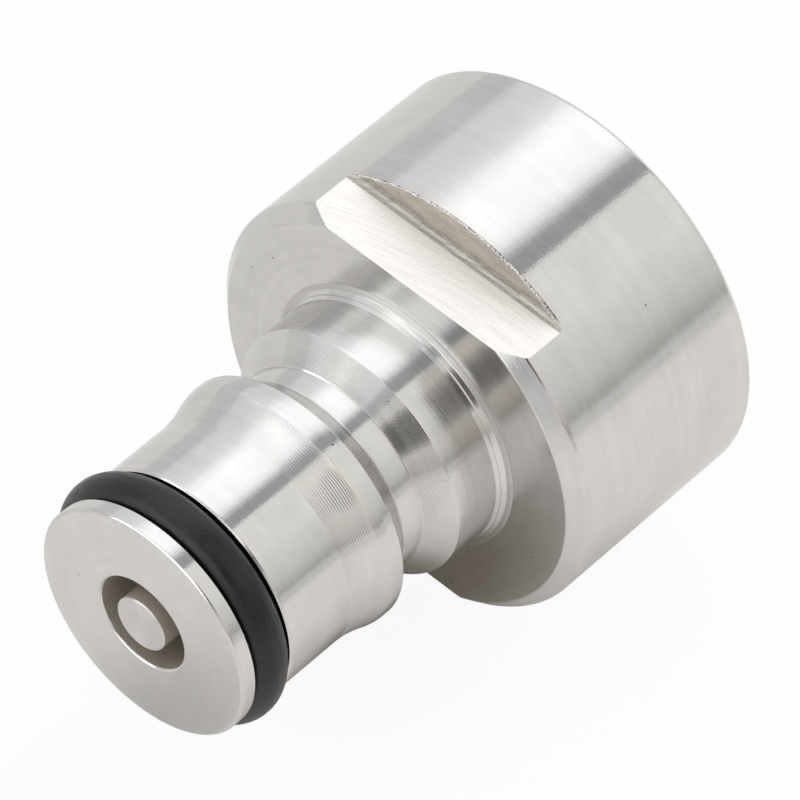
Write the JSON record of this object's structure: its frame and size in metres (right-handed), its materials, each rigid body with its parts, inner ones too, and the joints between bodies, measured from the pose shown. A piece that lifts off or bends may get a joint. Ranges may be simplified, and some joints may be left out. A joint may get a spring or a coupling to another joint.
{
  "type": "keg coupler post adapter",
  "caption": "Turned stainless fitting: a female thread with wrench flats at one end, a quick-disconnect post with O-ring and sprung poppet at the other.",
  "frame": {"origin": "centre of the rear face, at the mouth of the female thread", "axes": "+X along the flow axis towards the nose of the post, +Z normal to the wrench flats"},
  "size_m": [0.0357, 0.027, 0.027],
  "materials": {
    "body_steel": "turned stainless steel, fine tool marks",
    "pin_steel": "satin turned stainless steel",
    "spring_steel": "bright drawn stainless spring steel",
    "black_rubber": "moulded black rubber"
  },
  "bodies": {
    "fitting": {"adapter_body": "body_steel", "post_o_ring": "black_rubber", "poppet_spring": "spring_steel", "spring_seat": "pin_steel", "retaining_ring": "spring_steel", "coupler_washer": "black_rubber"},
    "poppet": {"poppet_stem": "pin_steel", "poppet_seal": "black_rubber"}
  },
  "joints": [
    {"name": "poppet_slide", "type": "slide", "parent": "fitting", "child": "poppet", "axis": [-1, 0, 0], "range_m": [0, 0.0035], "stiffness_N_per_m": 400, "deforming": ["poppet_spring"]}
  ]
}
